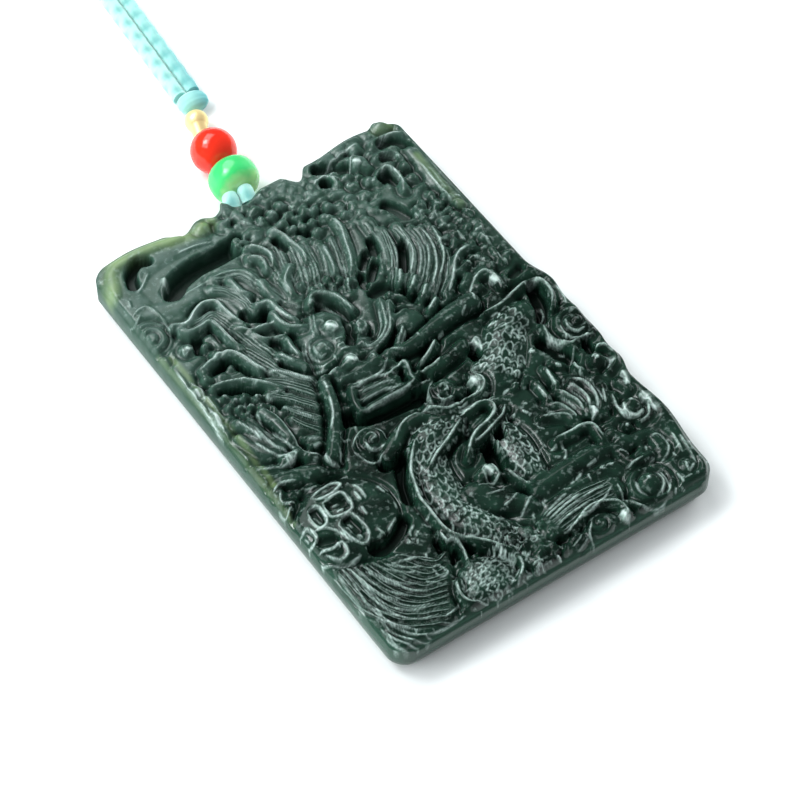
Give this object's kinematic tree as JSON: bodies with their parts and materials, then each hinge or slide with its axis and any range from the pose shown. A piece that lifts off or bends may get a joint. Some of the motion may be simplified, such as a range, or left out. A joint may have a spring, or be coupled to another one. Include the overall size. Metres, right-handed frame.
{
  "type": "jade pendant",
  "caption": "Carved jade plaque pendant with a dragon in deep relief, hung on a doubled braided cord with coloured beads.",
  "frame": {"origin": "middle of the plaque's flat back, on the surface it lies on", "axes": "+X across the plaque to the right as it hangs, +Y along the plaque towards the cord, +Z out of the carved face"},
  "size_m": [0.0424, 0.139, 0.0069],
  "materials": {
    "jade": "polished",
    "green_bead": "polished",
    "red_bead": "polished",
    "gold": "polished",
    "cord": "braided"
  },
  "bodies": {
    "root": {"plaque": "jade", "bead_green": "green_bead", "bead_red": "red_bead", "bead_gold": "gold", "loop_strand_left": "cord", "loop_strand_right": "cord", "cord_knot": "cord", "cord_strand_left": "cord", "cord_strand_right": "cord", "cord_coil": "cord", "coil_tie": "cord"}
  },
  "joints": []
}
